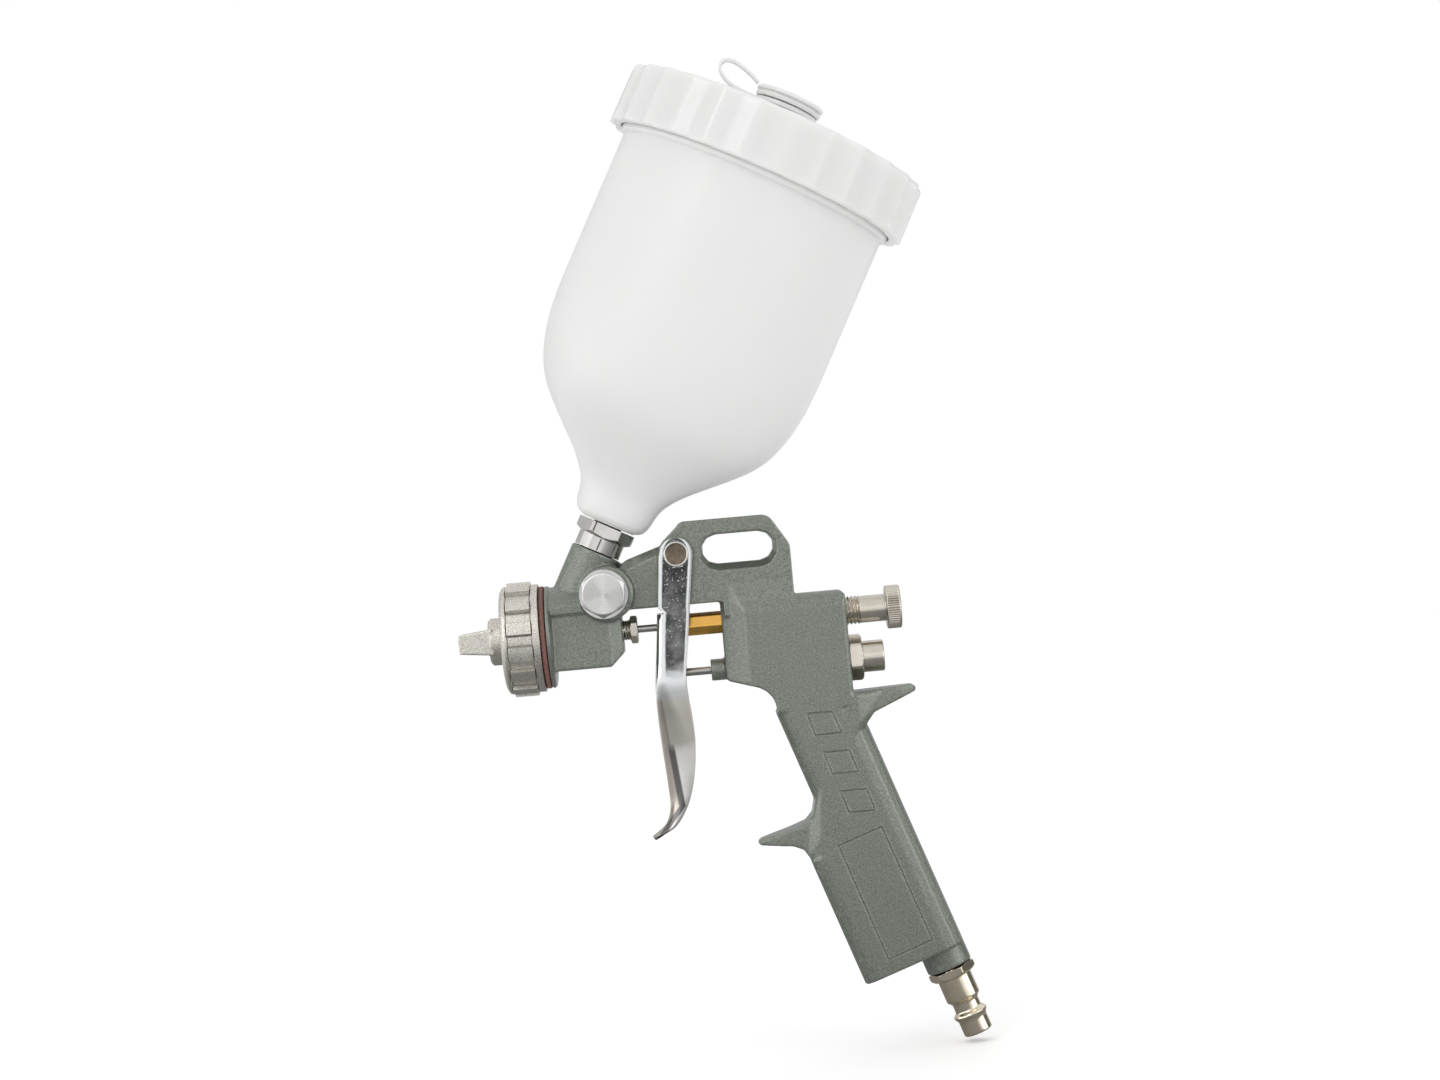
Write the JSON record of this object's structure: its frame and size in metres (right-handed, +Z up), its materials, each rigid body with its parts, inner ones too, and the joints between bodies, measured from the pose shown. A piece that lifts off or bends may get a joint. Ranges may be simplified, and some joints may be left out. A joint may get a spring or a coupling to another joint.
{
  "type": "airbrush gun",
  "caption": "Gravity-feed airbrush gun: cast body with hanging loop and grip, air cap and ring, trigger, fluid knob, screw-on paint cup with vented lid, and air nipple.",
  "frame": {"origin": "centre of the bearing face of the hanging slot, on the gun's middle plane", "axes": "+X rearwards along the needle (the jet leaves along -X), +Z up with the needle level, +Y to the right hand of someone who looks along the jet"},
  "size_m": [0.171, 0.1072, 0.34],
  "materials": {
    "enamel": "hammered grey-green enamel with a fine metallic sparkle on a die casting",
    "satin_nickel": "bead-blasted satin nickel plate",
    "chrome": "bright chrome plate",
    "steel": "plain bright steel",
    "turned_steel": "bright turned metal with concentric tool marks",
    "dark_steel": "dark turned steel",
    "brass": "turned brass",
    "nickel": "warm nickel plate",
    "cup_plastic": "translucent milky polyethylene",
    "lid_plastic": "white polypropylene, slightly glossy",
    "fibre": "red-brown vulcanised fibre",
    "seal": "white low-friction seal plastic",
    "rubber": "black nitrile rubber"
  },
  "bodies": {
    "gun_body": {"body_casting": "enamel", "fluid_nozzle": "steel", "air_baffle": "brass", "head_gasket": "fibre", "side_plug": "turned_steel", "plug_washer": "fibre", "needle_packing": "seal", "packing_nut": "nickel", "needle_spring": "steel", "stem_seal": "seal", "valve_seat": "brass", "valve_spring": "steel", "valve_cap_seal": "rubber", "air_valve_cap": "nickel", "air_nipple": "nickel", "nipple_seal": "seal", "pivot_stud": "dark_steel", "pivot_screw": "dark_steel"},
    "trigger": {"trigger": "chrome"},
    "needle": {"needle": "steel", "needle_collar": "brass"},
    "air_valve": {"valve_stem": "steel", "poppet_seal": "rubber", "valve_poppet": "brass"},
    "spring_seat": {"spring_seat": "brass"},
    "fluid_knob": {"fluid_knob": "nickel"},
    "cap_slip_washer": {"cap_slip_washer": "seal"},
    "air_cap": {"air_cap": "satin_nickel"},
    "air_cap_ring": {"air_cap_ring": "satin_nickel"},
    "cup_seal": {"cup_seal": "seal"},
    "paint_cup": {"cup_fitting": "chrome", "cup_nut": "chrome", "nut_washer": "seal", "paint_cup": "cup_plastic", "paint_strainer": "seal"},
    "lid_gasket": {"lid_gasket": "seal"},
    "cup_lid": {"cup_lid": "lid_plastic", "vent_tether": "lid_plastic"},
    "vent_cap": {"vent_cap": "lid_plastic"}
  },
  "joints": [
    {"name": "trigger_pull", "type": "hinge", "parent": "gun_body", "child": "trigger", "pos_m": [-0.021, 0, -0.0054], "axis": [0, -1, 0], "range_deg": [0, 14], "stiffness_Nm_per_rad": 0.02},
    {"name": "needle_slide", "type": "slide", "parent": "gun_body", "child": "needle", "axis": [1, 0, 0], "range_m": [0, 0.0062], "deforming": ["needle_spring"]},
    {"name": "air_valve_slide", "type": "slide", "parent": "gun_body", "child": "air_valve", "axis": [1, 0, 0], "range_m": [0, 0.0102], "deforming": ["valve_spring"]},
    {"name": "knob_feed", "type": "slide", "parent": "gun_body", "child": "spring_seat", "axis": [1, 0, 0], "range_m": [-0.00625, 0.0075]},
    {"name": "fluid_knob_turn", "type": "hinge", "parent": "spring_seat", "child": "fluid_knob", "pos_m": [0.051, 0, -0.0299], "axis": [1, 0, 0], "range_deg": [-1802, 2162]},
    {"name": "ring_feed", "type": "slide", "parent": "gun_body", "child": "cap_slip_washer", "axis": [-1, 0, 0], "range_m": [0, 0.006]},
    {"name": "ring_turn", "type": "hinge", "parent": "cap_slip_washer", "child": "air_cap_ring", "pos_m": [-0.076, 0, -0.0299], "axis": [-1, 0, 0], "range_deg": [-2, 1442]},
    {"name": "air_cap_turn", "type": "hinge", "parent": "cap_slip_washer", "child": "air_cap", "pos_m": [-0.087, 0, -0.0299], "axis": [-1, 0, 0], "range_deg": [-90, 90]},
    {"name": "cup_feed", "type": "slide", "parent": "gun_body", "child": "cup_seal", "axis": [0.4741, 0, 0.8805], "range_m": [0, 0.0075]},
    {"name": "cup_turn", "type": "hinge", "parent": "cup_seal", "child": "paint_cup", "pos_m": [-0.04815, 0, -0.0023], "axis": [0.4741, 0, 0.8805], "range_deg": [-2, 1802]},
    {"name": "lid_feed", "type": "slide", "parent": "paint_cup", "child": "lid_gasket", "axis": [0.4741, 0, 0.8805], "range_m": [0, 0.008]},
    {"name": "lid_turn", "type": "hinge", "parent": "lid_gasket", "child": "cup_lid", "pos_m": [-0.04815, 0, -0.0023], "axis": [0.4741, 0, 0.8805], "range_deg": [-2, 722]},
    {"name": "vent_cap_lift", "type": "slide", "parent": "cup_lid", "child": "vent_cap", "axis": [0.4741, 0, 0.8805], "range_m": [0, 0.008]}
  ],
  "couplings": [
    {"joint": "needle_slide", "follows": "trigger_pull", "m_per_rad": 0.0245},
    {"joint": "air_valve_slide", "follows": "trigger_pull", "m_per_rad": 0.0406},
    {"joint": "fluid_knob_turn", "follows": "knob_feed", "rad_per_m": 5026.5},
    {"joint": "ring_turn", "follows": "ring_feed", "rad_per_m": 4188.8},
    {"joint": "cup_turn", "follows": "cup_feed", "rad_per_m": 4188.8},
    {"joint": "lid_turn", "follows": "lid_feed", "rad_per_m": 1570.8}
  ]
}
